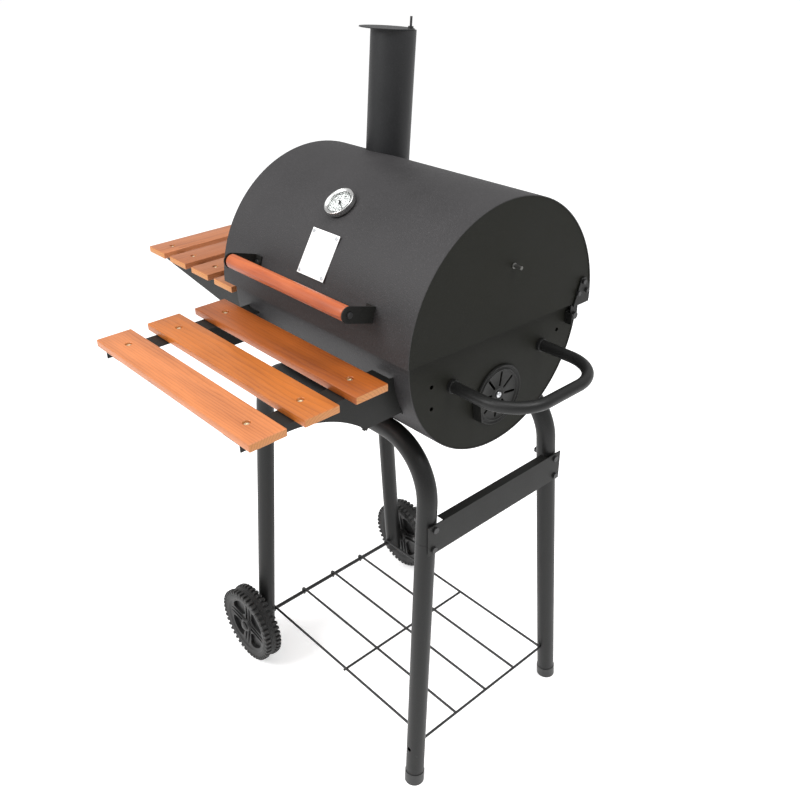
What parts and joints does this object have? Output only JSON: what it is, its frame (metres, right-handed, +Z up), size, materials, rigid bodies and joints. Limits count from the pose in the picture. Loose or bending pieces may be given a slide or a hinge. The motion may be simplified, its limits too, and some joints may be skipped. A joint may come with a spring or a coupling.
{
  "type": "barrel charcoal grill",
  "caption": "Charcoal barrel grill and smoker on a wheeled tube stand, with a hinged lid, chimney, air damper and slatted wooden shelves.",
  "frame": {"origin": "middle of the whole footprint, on the ground", "axes": "+X towards the air damper end, -Y the cook's side, +Z up"},
  "size_m": [0.93, 0.7064, 1.2766],
  "materials": {
    "barrel_steel": "textured matte high-heat paint, warm charcoal",
    "chimney_steel": "satin high-heat paint",
    "frame_steel": "satin powder coat, near black",
    "zinc": "bright zinc plate",
    "thermometer_steel": "polished stainless bezel",
    "dial_white": "white enamel, blank or with a plain scale",
    "needle_black": "matte black",
    "lens": "clear glass",
    "handle_wood": "orange-red stained dowel, lacquered",
    "shelf_wood": "orange-brown stained slats, lacquered",
    "brass": "yellow zinc plate",
    "plastic": "moulded black plastic",
    "wire": "black painted wire and bar",
    "grate_enamel": "black enamel",
    "rack_chrome": "plated wire"
  },
  "bodies": {
    "stand": {"body_shell": "barrel_steel", "body_end_left": "barrel_steel", "body_end_right": "barrel_steel", "hinge_body_leaves": "frame_steel", "hinge_pins": "zinc", "carry_handle": "frame_steel", "carry_handle_bolts": "zinc", "air_damper_screw": "zinc", "front_shelf_bracket_left": "frame_steel", "front_shelf_bracket_right": "frame_steel", "front_slat_inner": "shelf_wood", "front_slat_middle": "shelf_wood", "front_slat_outer": "shelf_wood", "front_slat_bolts": "brass", "side_shelf_bracket_front": "frame_steel", "side_shelf_bracket_rear": "frame_steel", "side_slat_1": "shelf_wood", "side_slat_2": "shelf_wood", "side_slat_3": "shelf_wood", "side_slat_4": "shelf_wood", "side_slat_bolts": "brass", "upper_frame_front": "frame_steel", "upper_frame_rear": "frame_steel", "lower_leg_front_right": "frame_steel", "lower_leg_rear_right": "frame_steel", "lower_leg_front_left": "frame_steel", "lower_leg_rear_left": "frame_steel", "foot_caps": "plastic", "leg_bolts": "frame_steel", "end_brace": "frame_steel", "axle": "zinc", "wheel_caps": "plastic", "wire_shelf": "wire", "cooking_grate_left": "grate_enamel", "cooking_grate_right": "grate_enamel", "charcoal_grate": "wire", "charcoal_grate_supports": "wire"},
    "lid": {"lid_shell": "barrel_steel", "lid_end_left": "barrel_steel", "lid_end_right": "barrel_steel", "chimney_pipe": "chimney_steel", "flap_pivot": "zinc", "thermometer_case": "thermometer_steel", "thermometer_dial": "dial_white", "thermometer_lens": "lens", "label_plate": "dial_white", "label_rivets": "zinc", "lid_handle_dowel": "handle_wood", "lid_handle_brackets": "frame_steel", "lid_handle_screws": "zinc", "hinge_lid_leaves": "frame_steel", "hinge_bolts": "zinc", "rack_studs": "zinc"},
    "flap": {"chimney_flap": "chimney_steel"},
    "needle": {"thermometer_needle": "needle_black"},
    "damper": {"air_damper": "frame_steel"},
    "front_wheel": {"wheel_front": "plastic"},
    "rear_wheel": {"wheel_rear": "plastic"},
    "rack": {"warming_rack": "rack_chrome"}
  },
  "joints": [
    {"name": "lid_hinge", "type": "hinge", "parent": "stand", "child": "lid", "pos_m": [0.1075, 0.28075, 0.837], "axis": [-1, 0, 0], "range_deg": [0, 90]},
    {"name": "chimney_flap_swing", "type": "hinge", "parent": "lid", "child": "flap", "pos_m": [0.00031, 0.22305, 1.25619], "axis": [0, 0.0872, 0.9962], "range_deg": [0, 90]},
    {"name": "thermometer_needle_turn", "type": "hinge", "parent": "lid", "child": "needle", "pos_m": [0.0995, -0.01529, 1.03612], "axis": [0, -0.5779, 0.8161], "range_deg": [-270, 0]},
    {"name": "air_damper_turn", "type": "hinge", "parent": "stand", "child": "damper", "pos_m": [0.3265, 0.10675, 0.75], "axis": [1, 0, 0], "range_deg": [0, 22.5]},
    {"name": "front_wheel_spin", "type": "hinge", "parent": "stand", "child": "front_wheel", "pos_m": [-0.14118, -0.12225, 0.083], "axis": [0, 1, 0], "continuous": true},
    {"name": "rear_wheel_spin", "type": "hinge", "parent": "stand", "child": "rear_wheel", "pos_m": [-0.14118, 0.32975, 0.083], "axis": [0, 1, 0], "continuous": true},
    {"name": "warming_rack_swing", "type": "hinge", "parent": "lid", "child": "rack", "pos_m": [0.1075, 0.11375, 0.97], "axis": [-1, 0, 0], "range_deg": [-90, 0]}
  ],
  "couplings": [
    {"joint": "warming_rack_swing", "follows": "lid_hinge", "ratio": -1}
  ]
}
